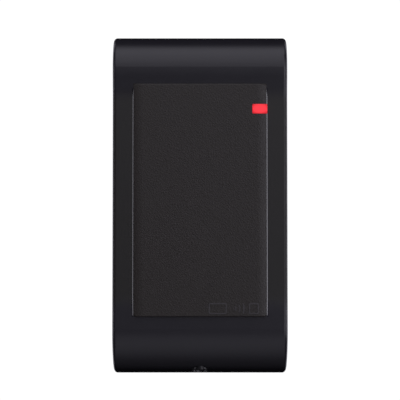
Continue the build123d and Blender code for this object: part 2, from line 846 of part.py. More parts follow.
def bulk_capacitor():
    """The moulded tantalum capacitor beside the regulator."""
    body = block(tantalum_x, tantalum_z, (board_depth[1], board_depth[1] + tantalum_tall))
    return chamfer(body.faces().sort_by(Axis.Y)[0].edges(), package_bevel)


def tuning_capacitors():
    """Two film capacitors that tune the antenna."""
    depth = (board_depth[1], board_depth[1] + film_tall)
    boxes = []
    for x in film_x:
        box = block((x - film_half, x + film_half), film_z, depth)
        boxes.append(fillet(box.faces().sort_by(Axis.Y)[0].edges(), film_edge))
    return Compound(boxes)


def chip_row(places, size, tall):
    """Small parts of one size, each centred on its own x and z."""
    parts = []
    for x, z in places:
        x_span = (x - size[0] / 2, x + size[0] / 2)
        z_span = (z - size[1] / 2, z + size[1] / 2)
        part = block(x_span, z_span, (board_depth[1], board_depth[1] + tall))
        parts.append(chamfer(part.faces().sort_by(Axis.Y)[0].edges(), small_bevel))
    return Compound(parts)


def chip_resistors():
    """Surface-mount resistors in two rows beside the chips."""
    places = [(-14.0 + resistor_step * number, 5.6) for number in range(6)]
    places += [(2.6 + resistor_step * number, 21.6) for number in range(5)]
    return chip_row(places, small_size, resistor_tall)


def chip_capacitors():
    """Surface-mount capacitors near the chips' supply leads."""
    places = [(4.0 + capacitor_step * number, 3.0) for number in range(5)]
    places += [(-17.4, 12.0), (-17.4, 15.4), (17.4, -1.8), (17.4, -5.4)]
    return chip_row(places, small_size, capacitor_tall)


def transistors():
    """Two switching transistors, for the buzzer and the light."""
    return chip_row(transistor_places, transistor_size, transistor_tall)


def diodes():
    """Protection diodes at the wiring header."""
    return chip_row(diode_places, diode_size, diode_tall)


def status_led():
    """The light behind the window."""
    base = board_depth[1]
    half_x, half_z = led_half
    x = (light_x - half_x, light_x + half_x)
    body = block(x, (light_z - half_z, light_z + half_z), (base, base + led_tall))
    body = chamfer(body.faces().sort_by(Axis.Y)[0].edges(), mark_depth)
    radius, floor = led_cup
    return body - pin(radius, light_x, light_z, (base + floor, base + led_tall + 1))


def led_lens():
    """The clear resin that fills the light's cup."""
    radius, floor = led_cup
    return pin(radius, light_x, light_z, (board_depth[1] + floor, board_depth[1] + resin_top))


def header_middle():
    return (header_z[0] + header_z[1]) / 2


def pin_places():
    """The x of each header pin."""
    return [(number - (pin_count - 1) / 2) * pin_pitch for number in range(pin_count)]


def wiring_header():
    """The socket that the installer's cable plugs into, open towards the wall."""
    depth = (header_back, board_depth[0])
    shell = tablet(both_sides(header_half_width), header_z, depth, header_corner)
    inner_z = (header_z[0] + header_wall, header_z[1] - header_wall)
    hollow = (header_back - 1, board_depth[0] - header_floor)
    shell -= block(both_sides(header_half_width - header_wall), inner_z, hollow)
    for x in both_sides(key_x):
        key = (x - key_half, x + key_half)
        shell -= block(key, (header_z[1] - key_depth, header_z[1] + 1), hollow)
    for x in pin_places():
        shell -= block((x - pin_half, x + pin_half), pin_span(), (0, board_depth[0] + 1))
    return shell


def pin_span():
    return (header_middle() - pin_half, header_middle() + pin_half)


def header_pins():
    """Ten square pins, soldered through the board."""
    pins = []
    for x in pin_places():
        one = block((x - pin_half, x + pin_half), pin_span(), pin_depth)
        pins.append(tip_chamfered(one, pin_point, Axis.Y))
    return Compound(pins)


# ================================================================ tamper switch
def tamper_switch():
    """The switch on the board that the plunger's tail presses."""
    x = (tamper_x - switch_half, tamper_x + switch_half)
    z = (tamper_z - switch_half, tamper_z + switch_half)
    top = board_depth[1] + switch_tall
    body = block(x, z, (board_depth[1], top))
    body = chamfer(body.faces().sort_by(Axis.Y)[0].edges(), switch_bevel)
    radius, past = switch_bore
    return body - pin(radius, tamper_x, tamper_z, (0, plunger_tail[1] + past))


def tamper_plunger():
    """The pin that rests on the wall: its flange keeps it in, its tail works the switch."""
    flange_radius, flange_tall = plunger_flange
    tail_radius, tail_end = plunger_tail
    front = flange_front()
    shaft = pin(plunger_radius, tamper_x, tamper_z, (plunger_stand, front))
    shaft = fillet(shaft.faces().sort_by(Axis.Y)[-1].edges(), plunger_tip)
    shaft += pin(flange_radius, tamper_x, tamper_z, (front - flange_tall, front))
    return shaft + pin(tail_radius, tamper_x, tamper_z, (front, tail_end))


def flange_front():
    """Depth of the plunger's flange on its spring side, while it is pressed."""
    return lid_depth[1] + stop_gap + tamper_travel + plunger_flange[1]


def tamper_spring():
    """The coil spring between the plunger's flange and the board, shown pressed."""
    start = flange_front() + spring_wire + spring_gap
    tall = board_depth[0] - spring_wire - spring_gap - start
    path = Helix(tall / spring_turns, tall, spring_mean)
    wire = sweep(Plane(path @ 0, z_dir=path % 0) * Circle(spring_wire), path=path)
    return Pos(tamper_x, -start, tamper_z) * Rot(90, 0, 0) * wire


# ================================================================ the files
sub_parts = [
    front_cover,
    rear_cover,
    cover_seal,
    light_pipe,
    rear_label,
    case_screws,
    wall_plate,
    lock_insert,
    lock_screw,
    lock_washer,
    main_board,
    board_screws,
    antenna_coil,
    antenna_leads,
    coil_pads,
    buzzer,
    microcontroller,
    radio_chip,
    chip_leads,
    voltage_regulator,
    regulator_tab,
    crystal,
    bulk_capacitor,
    tuning_capacitors,
    chip_resistors,
    chip_capacitors,
    transistors,
    diodes,
    status_led,
    led_lens,
    wiring_header,
    header_pins,
    tamper_switch,
    tamper_plunger,
    tamper_spring,
]

os.makedirs("parts", exist_ok=True)
for make in sub_parts:
    export_step(make(), f"parts/{make.__name__}.step")
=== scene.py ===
import json
from math import cos, pi, radians, sin

import bmesh
import bpy
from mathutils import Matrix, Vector


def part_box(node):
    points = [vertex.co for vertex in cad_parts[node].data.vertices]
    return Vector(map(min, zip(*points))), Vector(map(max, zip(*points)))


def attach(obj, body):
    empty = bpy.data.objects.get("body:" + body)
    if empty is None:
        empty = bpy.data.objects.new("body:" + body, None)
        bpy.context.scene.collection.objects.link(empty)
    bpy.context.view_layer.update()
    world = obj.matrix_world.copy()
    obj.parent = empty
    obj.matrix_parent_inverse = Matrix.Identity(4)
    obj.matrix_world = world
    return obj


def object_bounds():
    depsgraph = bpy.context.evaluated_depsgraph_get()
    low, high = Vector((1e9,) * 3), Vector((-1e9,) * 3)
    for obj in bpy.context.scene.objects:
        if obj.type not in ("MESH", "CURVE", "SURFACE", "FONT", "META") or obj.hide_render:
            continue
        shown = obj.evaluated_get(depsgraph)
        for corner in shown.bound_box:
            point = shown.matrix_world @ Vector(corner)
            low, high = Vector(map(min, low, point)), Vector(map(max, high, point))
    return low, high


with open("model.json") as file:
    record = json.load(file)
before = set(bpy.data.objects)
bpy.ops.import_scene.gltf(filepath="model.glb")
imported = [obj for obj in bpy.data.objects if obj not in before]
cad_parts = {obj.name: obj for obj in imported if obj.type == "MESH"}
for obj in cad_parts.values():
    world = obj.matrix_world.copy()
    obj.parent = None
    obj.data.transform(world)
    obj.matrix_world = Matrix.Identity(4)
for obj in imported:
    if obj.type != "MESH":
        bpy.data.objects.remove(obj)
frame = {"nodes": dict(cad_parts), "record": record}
cad_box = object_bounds()
nodes = frame["nodes"]

MM = 0.001

# ---------------------------------------------------------------- camera
camera_distance = 0.500
camera_below = 2.25              # degrees under the reader's middle
camera_lens = 128.2
camera_sensor = 36.0
camera_clip = (0.01, 20.0)
camera_aim_height = 1.82 * MM

# ---------------------------------------------------------------- front cover, in millimetres
leather_cell = 0.85
leather_deep = 0.023
leather_slope = 0.28             # from a crack to the top of its pebble
leather_drift = 0.9              # how closely the cells wander
fine_grain, fine_share = 0.22, 0.35
spark_grain, spark_share = 0.16, 0.15
sink_size, sink_deep = 5.0, 0.006
worn_size = 7.0
mottle_size = 2.5
satin_roughness = (0.27, 0.32)
matt_roughness = (0.40, 0.46)
flank_roughness = 0.14
sign_roughness = 0.30
roll_dark, roll_pale = (0.017, 0.016, 0.021), (0.020, 0.019, 0.024)
recess_dark, recess_pale = (0.0085, 0.0075, 0.0058), (0.0100, 0.0088, 0.0070)
panel_dark, panel_pale = (0.0150, 0.0112, 0.0088), (0.0190, 0.0145, 0.0115)
# Painted highlight: the pictogram is the cover's own plastic, painted paler to stand in for light
# glinting off its relief.
sign_painted_highlight = (0.062, 0.058, 0.060)

# Where each finish of the front cover begins and is full. Those of the panel's sides and of the
# flanks are counted outward from the edge of the panel's front.
panel_rise = (0.1, 0.5)          # over the recess
panel_sides = (2.6, 3.2)
panel_ends, panel_ends_soft = 0.4, 0.2
margin_back = (-1.0, -0.3)       # from the recess, towards the wall
margin_ends, margin_ends_soft = 2.0, 3.0
sign_rise = (0.04, 0.10)         # over the panel
sign_band, sign_band_soft = (0.5, 5.5), 0.3      # up from the panel's lowest edge
flank_top = (-0.76, -0.70)       # from the panel, towards the wall
flank_foot = (0.01, 0.03)        # over the recess
flank_band, flank_band_soft = (2.9, 3.34), 0.04

# ---------------------------------------------------------------- light window, in millimetres
glow_edge = (0.30, 0.003, 0.010)
glow_middle = (0.94, 0.041, 0.060)
glow_across, glow_upward = 0.36, 0.62            # how fast the glow fades each way
glow_fade = (0.1, 1.6)
glow_cloud, glow_even = 0.3, 0.85                # shares of cloud and of plain light
rim_width = 0.7

# ---------------------------------------------------------------- other finishes, in millimetres
gloss_spread = 0.07
gloss_seed = (7, 3, 5)
lid_pin_pitch, lid_pin_radius = 22.0, 1.5
plate_pin_pitch, plate_pin_radius = 17.0, 1.8
pin_deep = 0.05
fibre_size, fibre_deep = 0.35, 0.012
fibre_shine = (0.58, 0.72)
track_pitch = 2.4
track_half = (0.10, 0.16)        # share of the pitch
pour_size, pour_edge = 9.0, (0.52, 0.54)
via_scale = 0.22
# The via drill holes are painted near-black as painted shade.
via_ring, via_drill = (0.085, 0.095), (0.04, 0.05)
board_skin, board_skin_soft = 0.06, 0.03
board_plies = 20.0
copper_deep = 0.03
knurl_count = 26
knurl_lean = 7.0
knurl_deep = 0.05
wire_pitch = 0.32
# wire_groove also sets where the painted shade between the wire turns begins and is full.
wire_groove, wire_deep = (0.2, 0.9), 0.12
coil_corner = 7.0
label_line, label_line_soft = (1.2, 1.45), 0.04  # in from the label's edge
polarity_bar, polarity_bar_soft = (-1.6, -0.8), 0.05   # from the capacitor's upper end
steel_worn = (0.62, 0.75)
turning_size, turning_deep = 0.10, 0.006

# ---------------------------------------------------------------- pieces on the board
cap_length = 0.36 * MM
cap_proud = 0.025 * MM
cap_edge = 0.04 * MM
silk_gap = 0.3 * MM
silk_line = 0.15 * MM
silk_thick = 0.02 * MM
silk_dot = 0.28 * MM
silk_dot_drop = 1.9 * MM
silk_outlined = (
    "crystal", "tuning_capacitors", "bulk_capacitor", "tamper_switch", "status_led", "diodes",
)
silk_dotted = ("microcontroller", "radio_chip")
cone_radius = 0.85 * MM
# Each pair is a share of the radius and the height there.
cone_shape = [
    (1.0, 0.0), (0.98, 0.06 * MM), (0.72, 0.22 * MM), (0.56, 0.5 * MM), (0.48, 0.9 * MM),
]
sharp_angle = 40                 # degrees

# ---------------------------------------------------------------- light, angles in degrees
# The dome is a band of soft light that runs from under the reader, over the camera, to overhead.
# Each pair is an angle over the camera's line and the radiance there.
dome_reach = (-150, 150)
dome_light = [
    (-125, 0.0), (-85, 0.10), (-62, 0.34), (-42, 0.46), (-24, 0.40), (-12, 0.16), (-6, 0.0),
    (2, 0.08), (12, 0.64), (26, 0.93), (62, 1.23), (74, 1.13), (86, 0.40), (95, 0.0),
]
dome_half, dome_soft = 28, 8
# Soft patches level with the camera: from and to these angles round from it, and the radiance.
# The last two graze the reader and draw the light lines on the flanks of its panel.
side_light = [(19, 42, 2.1), (77, 86, 6.6), (-86, -77, 3.8)]
side_band, side_soft = (-14, 18), 6
# A pale wall behind the reader, and soft light to both sides of it for the reader's back. The
# edges say where each begins and is full: 0 is beside the reader, and 1 is straight behind it.
wall_edge = (0.55, 0.75)
wall_band, wall_soft = (-14, 14), 6
wall_light = 1.0
back_edge = (0.15, 0.35)
back_aside = (24, 34)            # it keeps this far to the sides
back_band, back_soft = (-30, 60), 8
back_light = 1.0
light_tint = (0.985, 0.965, 1.08)
backdrop_white = 1.05

# ---------------------------------------------------------------- stage
floor_drop = 0.5                 # the reader hangs this far over the floor
floor_radius = 2.4
floor_sides = 96
floor_glow = 0.5                 # keeps the floor pale from every side, without lighting the reader
floor_patch = 400.0


# ================================================================ node helpers
class Tree:
    """A node tree, with short ways to add procedural nodes to it."""

    def __init__(self, tree):
        self.tree = tree

    def add(self, kind, inputs=(), **settings):
        """A new node. Inputs are values or sockets, by order or by name."""
        node = self.tree.nodes.new("ShaderNode" + kind)
        for key, value in settings.items():
            setattr(node, key, value)
        named = inputs.items() if isinstance(inputs, dict) else enumerate(inputs)
        for key, value in named:
            self.feed(node.inputs[key], value)
        return node

    def feed(self, socket, value):
        if isinstance(value, bpy.types.NodeSocket):
            self.tree.links.new(value, socket)
        else:
            socket.default_value = value

    def math(self, operation, a, b=0.0, c=0.0):
        return self.add("Math", (a, b, c), operation=operation).outputs[0]

    def product(self, first, *others):
        """1 only where every share is 1."""
        for other in others:
            first = self.math("MULTIPLY", first, other)
        return first

    def inverse(self, share):
        """1 where the share is 0, and 0 where it is 1."""
        return self.math("SUBTRACT", 1.0, share)

    def off(self, value, middle):
        """How far a value is from a middle, either way."""
        return self.math("ABSOLUTE", self.math("SUBTRACT", value, middle))

    def step(self, value, low, high):
        """0 below low, 1 above high, and a smooth rise between them."""
        inputs = {"Value": value, "From Min": low, "From Max": high}
        node = self.add("MapRange", inputs, interpolation_type="SMOOTHSTEP")
        return node.outputs["Result"]

    def span(self, value, low, high, soft):
        """1 between low and high, 0 outside, with soft ends."""
        rise = self.step(value, low - soft, low + soft)
        fall = self.step(value, high - soft, high + soft)
        return self.math("SUBTRACT", rise, fall)


class Look(Tree):
    """A material: a Principled shader and the procedural nodes that feed it."""

    def __init__(self, name, **constants):
        self.material = bpy.data.materials.new(name)
        self.material.use_nodes = True
        super().__init__(self.material.node_tree)
        self.shader = self.tree.nodes["Principled BSDF"]
        for socket, value in constants.items():
            self.set(socket.replace("_", " "), value)
        where = self.add("TexCoord").outputs["Object"]
        scaled = self.add("VectorMath", (where, (1 / MM,) * 3), operation="MULTIPLY")
        self.place = scaled.outputs[0]

    def set(self, socket, value):
        """Feeds one of the shader's own sockets."""
        self.feed(self.shader.inputs[socket], value)

    def axes(self):
        """The place's x, y and z in millimetres, as three sockets."""
        return self.add("SeparateXYZ", (self.place,)).outputs

    def noise(self, size, detail=3.0, stretch=(1, 1, 1), seed=(0, 0, 0)):
        """Noise whose lumps are about size millimetres across."""
        scaled = self.add("Mapping", (self.place, seed, (0, 0, 0), stretch)).outputs[0]
        inputs = {"Vector": scaled, "Scale": 1 / size, "Detail": detail, "Roughness": 0.55}
        return self.add("TexNoise", inputs).outputs["Fac"]

    def ramp(self, value, low, high):
        """A straight change from low to high as value goes from 0 to 1."""
        node = self.add("MapRange", {"Value": value, "To Min": low, "To Max": high})
        return node.outputs["Result"]

    def blend(self, share, first, second):
        """A colour between two colours or colour sockets, which are the Mix node's 6 and 7."""
        node = self.add("Mix", data_type="RGBA")
        self.feed(node.inputs["Factor"], share)
        self.feed(node.inputs[6], first)
        self.feed(node.inputs[7], second)
        return node.outputs[2]

    def mix(self, share, first, second):
        """A number between two numbers or number sockets, which are the Mix node's 2 and 3."""
        return self.add("Mix", {0: share, 2: first, 3: second}, data_type="FLOAT").outputs[0]

    def pin_marks(self, pitch, radius):
        """1 on round marks about pitch millimetres apart on the plane of x and z."""
        x, _, z = self.axes()
        flat = self.add("CombineXYZ", (x, 0.0, z)).outputs[0]
        inputs = {"Vector": flat, "Scale": 1 / pitch, "Randomness": 0.35}
        nearest = self.add("TexVoronoi", inputs).outputs["Distance"]
        return self.inverse(self.step(nearest, radius / pitch, 1.08 * radius / pitch))

    def bump(self, height, depth, below=None):
        """A normal from a height of 0 to 1 that stands for depth millimetres."""
        inputs = {"Height": height, "Distance": depth * MM, "Strength": 1.0}
        node = self.add("Bump", inputs)
        if below is not None:
            self.feed(node.inputs["Normal"], below)
        return node.outputs["Normal"]


def rgb(red, green, blue):
    return (red, green, blue, 1.0)


def beyond(start, pair):
    """The two places that lie a pair of distances beyond start."""
    return start + pair[0], start + pair[1]


def middle_and_half(box):
    """A box's middle and half size in millimetres."""
    low, high = box
    return (low + high) / 2 / MM, (high - low) / 2 / MM


# ================================================================ the cover's own places
def facing_planes(mesh):
    """Depth, lowest z, highest z and half width of the flats facing the front, largest first."""
    found = {}
    for face in mesh.polygons:
        if face.normal.y < -0.9999:
            depth = round(-face.center.y / MM, 2)
            zs = [mesh.vertices[i].co.z / MM for i in face.vertices]
            xs = [abs(mesh.vertices[i].co.x) / MM for i in face.vertices]
            area, low, high, half = found.get(depth, (0.0, 1e9, -1e9, 0.0))
            found[depth] = (area + face.area, min(low, *zs), max(high, *zs), max(half, *xs))
    largest = sorted(found.items(), key=lambda item: -item[1][0])
    return [(depth, low, high, half) for depth, (_, low, high, half) in largest]


# ================================================================ materials
def black_abs():
    """Moulded ABS: leather grain on the raised panel, fine spark texture beside it, satin rolls,
    smooth flanks along the panel's sides, and a raised pictogram coloured with a paler painted
    highlight."""
    look = Look("black_abs")
    planes = facing_planes(nodes["front_cover"].data)[:2]
    panel_depth, panel_low, panel_high, panel_half = max(planes)
    recess_depth, recess_low, recess_high, _ = min(planes)
    x, y, z = look.axes()
    depth = look.math("MULTIPLY", y, -1.0)
    aside = look.math("ABSOLUTE", x)

    plain = look.inverse(look.step(depth, *beyond(panel_depth, sign_rise)))
    signed = look.inverse(plain)
    signed = look.product(signed, look.span(z, *beyond(panel_low, sign_band), sign_band_soft))
    level = look.step(depth, *beyond(recess_depth, panel_rise))
    tall = look.span(z, panel_low - panel_ends, panel_high + panel_ends, panel_ends_soft)
    wide = look.inverse(look.step(aside, *beyond(panel_half, panel_sides)))
    panel = look.product(level, tall, wide, plain)
    flat = look.span(z, recess_low - margin_ends, recess_high + margin_ends, margin_ends_soft)
    outward = look.step(depth, *beyond(recess_depth, margin_back))
    coarse = look.math("MAXIMUM", panel, look.product(flat, outward, plain))
    under = look.inverse(look.step(depth, *beyond(panel_depth, flank_top)))
    over = look.step(depth, *beyond(recess_depth, flank_foot))
    foot = look.span(aside, *beyond(panel_half, flank_band), flank_band_soft)
    flank = look.product(under, over, foot, tall)
    grainy = look.inverse(flank)

    vague = {"Vector": look.place, "Scale": leather_drift, "Detail": 2.0}
    drift = look.add("TexNoise", vague).outputs["Color"]
    wander = look.add("VectorMath", (look.place, drift), operation="ADD").outputs[0]
    cells = {"Vector": wander, "Scale": 1 / leather_cell, "Randomness": 1.0}
    cracks = look.add("TexVoronoi", cells, feature="DISTANCE_TO_EDGE").outputs["Distance"]
    pebble = look.step(cracks, 0.0, leather_slope)
    leather = look.math("MULTIPLY_ADD", look.noise(fine_grain, 2.0), fine_share, pebble)
    leather = look.product(leather, panel, grainy)
    spark = look.product(look.noise(spark_grain, 2.0), coarse, grainy)
    height = look.math("MULTIPLY_ADD", spark, spark_share, leather)
    sinks = look.bump(look.noise(sink_size, 2.0), sink_deep)
    look.set("Normal", look.bump(height, leather_deep, sinks))

    worn = look.noise(worn_size, 4.0)
    satin = look.ramp(worn, *satin_roughness)
    matt = look.ramp(worn, *matt_roughness)
    rough = look.mix(flank, look.mix(coarse, satin, matt), flank_roughness)
    look.set("Roughness", look.mix(signed, rough, sign_roughness))
    mottle = look.noise(mottle_size, 5.0)
    rolls = look.blend(mottle, rgb(*roll_dark), rgb(*roll_pale))
    sides = look.blend(mottle, rgb(*recess_dark), rgb(*recess_pale))
    flats = look.blend(mottle, rgb(*panel_dark), rgb(*panel_pale))
    color = look.blend(panel, look.blend(coarse, rolls, sides), flats)
    # The pictogram gets a painted highlight, a paler colour in place of the light that glints off
    # its relief.
    look.set("Base Color", look.blend(signed, color, rgb(*sign_painted_highlight)))
    look.set("Specular IOR Level", 0.5)
    return look.material


def grained(name, color, roughness, spread=0.12, patch=2.0, grain=0.2, deep=0.008,
            stretch=(1, 1, 1), **constants):
    """One substance: patches of slightly different colour and gloss over a fine grain."""
    look = Look(name, **constants)
    patches = look.noise(patch, 4.0, stretch)
    dark = rgb(*[(1 - spread) * c for c in color])
    pale = rgb(*[min(1.0, (1 + spread) * c) for c in color])
    look.color = look.blend(patches, dark, pale)
    look.set("Base Color", look.color)
    gloss = look.noise(patch / 2, 3.0, stretch, gloss_seed)
    look.set("Roughness", look.ramp(gloss, roughness - gloss_spread, roughness + gloss_spread))
    look.relief = look.bump(look.noise(grain, 2.0, stretch), deep)
    look.set("Normal", look.relief)
    return look


def black_lid():
    """Moulded ABS with a spark texture and the faint round marks of the mould's ejector pins."""
    look = grained("black_lid", (0.034, 0.034, 0.037), roughness=0.52,
                   spread=0.15, patch=6.0, grain=0.25, deep=0.014)
    marks = look.pin_marks(lid_pin_pitch, lid_pin_radius)
    look.set("Normal", look.bump(marks, pin_deep, look.relief))
    return look.material


def black_plate():
    """Glass-filled nylon: short grey fibres that lie along the flow, ejector marks, a matt skin."""
    look = grained("black_plate", (0.052, 0.052, 0.056), roughness=0.62,
                   spread=0.12, patch=8.0, grain=0.3, deep=0.015)
    fibre = look.noise(fibre_size, 3.0, (1.0, 1.0, 0.12))
    streak = look.product(look.step(fibre, *fibre_shine), look.noise(9.0, 2.0))
    look.set("Base Color", look.blend(streak, look.color, rgb(0.110, 0.110, 0.114)))
    marks = look.pin_marks(plate_pin_pitch, plate_pin_radius)
    look.set("Normal", look.bump(fibre, fibre_deep, look.bump(marks, pin_deep, look.relief)))
    return look.material


def board_green():
    """Glass-epoxy board: copper tracks and pours under a green mask, tinned vias with painted shade
    in their drill holes, cut edges.
    """
    look = grained("board_green", (0.012, 0.105, 0.045), roughness=0.30,
                   spread=0.08, patch=9.0, grain=0.5, deep=0.004)
    low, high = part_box("main_board")
    x, y, z = look.axes()
    # Each square of the board has a track across one corner or the other, by the toss of a coin.
    flat = look.add("CombineXYZ", (x, 0.0, z)).outputs[0]
    tiles = look.add("VectorMath", (flat, (1 / track_pitch,) * 3), operation="MULTIPLY").outputs[0]
    corner = look.add("VectorMath", (tiles,), operation="FLOOR").outputs[0]
    toss = look.add("TexWhiteNoise", {"Vector": corner}).outputs["Value"]
    inside = look.add("VectorMath", (tiles,), operation="FRACTION").outputs[0]
    u, _, v = look.add("SeparateXYZ", (inside,)).outputs
    across = look.mix(look.math("GREATER_THAN", toss, 0.5), u, look.inverse(u))
    total = look.math("ADD", across, v)
    lane = look.math("MINIMUM", look.off(total, 0.5), look.off(total, 1.5))
    track = look.inverse(look.step(lane, *track_half))
    pour = look.step(look.noise(pour_size, 0.0, seed=(11, 0, 4)), *pour_edge)
    copper = look.math("MAXIMUM", track, pour)
    spots = {"Vector": flat, "Scale": via_scale, "Randomness": 0.8}
    vias = look.add("TexVoronoi", spots).outputs["Distance"]
    ring = look.inverse(look.step(vias, *via_ring))
    drill = look.inverse(look.step(vias, *via_drill))
    mask = look.blend(copper, look.color, rgb(0.030, 0.175, 0.075))
    # Painted shade: the drill hole in the middle of each via is coloured near-black.
    metal = look.blend(drill, rgb(0.55, 0.55, 0.52), rgb(0.01, 0.01, 0.01))
    face = look.blend(ring, mask, metal)
    edge = look.span(y, low[1] / MM + board_skin, high[1] / MM - board_skin, board_skin_soft)
    plies = look.math("SINE", look.math("MULTIPLY", y, board_plies))
    laminate = look.blend(plies, rgb(0.30, 0.26, 0.12), rgb(0.42, 0.37, 0.20))
    look.set("Base Color", look.blend(edge, face, laminate))
    look.set("Metallic", look.math("MULTIPLY", ring, 0.8))
    sunk = look.math("MULTIPLY", drill, 2.0)
    raised = look.math("SUBTRACT", look.math("ADD", copper, ring), sunk)
    look.set("Normal", look.bump(raised, copper_deep, look.relief))
    return look.material


def brass():
    """A pressed-in insert: diagonal knurling on its outside, turning marks, slight tarnish."""
    look = grained("brass", (0.72, 0.50, 0.20), roughness=0.28,
                   spread=0.10, patch=1.2, grain=0.1, deep=0.004, Metallic=1.0)
    middle, _ = middle_and_half(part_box("lock_insert"))
    x, y, z = look.axes()
    sideways, forward = look.math("SUBTRACT", x, middle.x), look.math("SUBTRACT", y, middle.y)
    around = look.math("MULTIPLY", look.math("ARCTAN2", forward, sideways), knurl_count)
    rise = look.math("MULTIPLY", z, knurl_lean)
    first = look.math("SINE", look.math("ADD", around, rise))
    second = look.math("SINE", look.math("SUBTRACT", around, rise))
    look.set("Normal", look.bump(look.product(first, second), knurl_deep, look.relief))
    return look.material


def coil_copper():
    """Enamelled wire wound in neat turns round a rounded rectangle and bonded, with painted shade
    in the grooves between turns.
    """
    look = grained("coil_copper", (0.50, 0.17, 0.07), roughness=0.30,
                   spread=0.14, patch=1.5, grain=0.1, deep=0.003, Metallic=0.85)
    middle, half = middle_and_half(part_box("antenna_coil"))
    x, y, z = look.axes()
    reach_x = look.math("SUBTRACT", look.off(x, middle.x), half.x - coil_corner)
    reach_z = look.math("SUBTRACT", look.off(z, middle.z), half.z - coil_corner)
    square_x = look.math("POWER", look.math("MAXIMUM", reach_x, 0.0), 2.0)
    square_z = look.math("POWER", look.math("MAXIMUM", reach_z, 0.0), 2.0)
    rounded = look.math("SQRT", look.math("ADD", square_x, square_z))
    inner = look.math("MINIMUM", look.math("MAXIMUM", reach_x, reach_z), 0.0)
    distance = look.math("ADD", rounded, inner)

    def waves(along):
        turn = look.math("MULTIPLY", along, pi / wire_pitch)
        return look.math("ABSOLUTE", look.math("SINE", turn))

    wires = look.math("ADD", waves(distance), waves(y))
    # Painted shade: the grooves between the turns are coloured a darker copper.
    groove_shade = look.inverse(look.step(wires, *wire_groove))
    look.set("Base Color", look.blend(groove_shade, look.color, rgb(0.10, 0.025, 0.012)))
    look.set("Normal", look.bump(wires, wire_deep, look.relief))
    return look.material


def label_paper():
    """A blank polyester label with a thin printed frame and a soft weave of matt coating."""
    look = grained("label_paper", (0.80, 0.80, 0.78), roughness=0.42,
                   spread=0.03, patch=4.0, grain=0.12, deep=0.003)
    middle, half = middle_and_half(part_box("rear_label"))
    x, _, z = look.axes()
    side = look.math("SUBTRACT", half.x, look.off(x, middle.x))
    end = look.math("SUBTRACT", half.z, look.off(z, middle.z))
    line = look.span(look.math("MINIMUM", side, end), *label_line, label_line_soft)
    look.set("Base Color", look.blend(line, look.color, rgb(0.06, 0.06, 0.07)))
    return look.material


def tantalum():
    """Moulded yellow epoxy with the darker bar that marks the positive end."""
    look = grained("tantalum", (0.72, 0.40, 0.06), roughness=0.42,
                   spread=0.08, patch=1.5, grain=0.12, deep=0.006)
    _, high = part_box("bulk_capacitor")
    _, _, z = look.axes()
    bar = look.span(z, *beyond(high[2] / MM, polarity_bar), polarity_bar_soft)
    look.set("Base Color", look.blend(bar, look.color, rgb(0.25, 0.10, 0.02)))
    return look.material


def steel_black():
    """Black-oxide screw: oily dark skin, worn paler on the high spots."""
    look = grained("steel_black", (0.014, 0.014, 0.016), roughness=0.34,
                   spread=0.2, patch=0.8, grain=0.08, deep=0.006, Metallic=0.5)
    worn = look.step(look.noise(0.5, 4.0, seed=(3, 1, 8)), *steel_worn)
    look.set("Base Color", look.blend(worn, look.color, rgb(0.045, 0.043, 0.040)))
    return look.material


def steel_zinc():
    """Zinc plate: a slightly blue, slightly yellow passivation in patches over turned steel."""
    look = grained("steel_zinc", (0.58, 0.59, 0.62), roughness=0.30,
                   spread=0.08, patch=1.0, grain=0.06, deep=0.004, Metallic=1.0)
    film = look.noise(1.6, 2.0, seed=(5, 9, 2))
    look.set("Base Color", look.blend(film, rgb(0.56, 0.58, 0.63), rgb(0.66, 0.63, 0.55)))
    rings = look.noise(turning_size, 2.0, (1.0, 0.15, 1.0))
    look.set("Normal", look.bump(rings, turning_deep, look.relief))
    return look.material


def red_window():
    """Translucent red polycarbonate lit from behind: brightest in the middle, dark at the rim."""
    look = Look("red_window", Roughness=0.22)
    middle, half = middle_and_half(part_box("light_pipe"))
    x, _, z = look.axes()
    across = look.math("MULTIPLY", look.math("SUBTRACT", x, middle.x), glow_across)
    upward = look.math("MULTIPLY", look.math("SUBTRACT", z, middle.z), glow_upward)
    square = look.math("POWER", across, 2.0)
    spread = look.math("MULTIPLY_ADD", upward, upward, square)
    near = look.inverse(look.step(spread, *glow_fade))
    even = look.math("MULTIPLY", near, glow_even)
    glow = look.math("MULTIPLY_ADD", look.noise(0.8, 2.0), glow_cloud, even)
    ends = look.step(look.off(x, middle.x), half.x - rim_width, half.x)
    sides = look.step(look.off(z, middle.z), half.z - rim_width, half.z)
    cloud = look.product(glow, look.inverse(look.math("MAXIMUM", ends, sides)))
    look.set("Base Color", rgb(0.5, 0.01, 0.01))
    look.set("Emission Color", look.blend(cloud, rgb(*glow_edge), rgb(*glow_middle)))
    look.set("Emission Strength", 1.0)
    look.set("Normal", look.bump(look.noise(1.0, 2.0), 0.01))
    return look.material


looks = {
    "black_abs": black_abs(),
    "black_lid": black_lid(),
    "black_plate": black_plate(),
    "board_green": board_green(),
    "brass": brass(),
    "coil_copper": coil_copper(),
    "label_paper": label_paper(),
    "tantalum": tantalum(),
    "steel_black": steel_black(),
    "steel_zinc": steel_zinc(),
    "red_window": red_window(),
}
even, metal = (1, 1, 1), {"Metallic": 1.0}
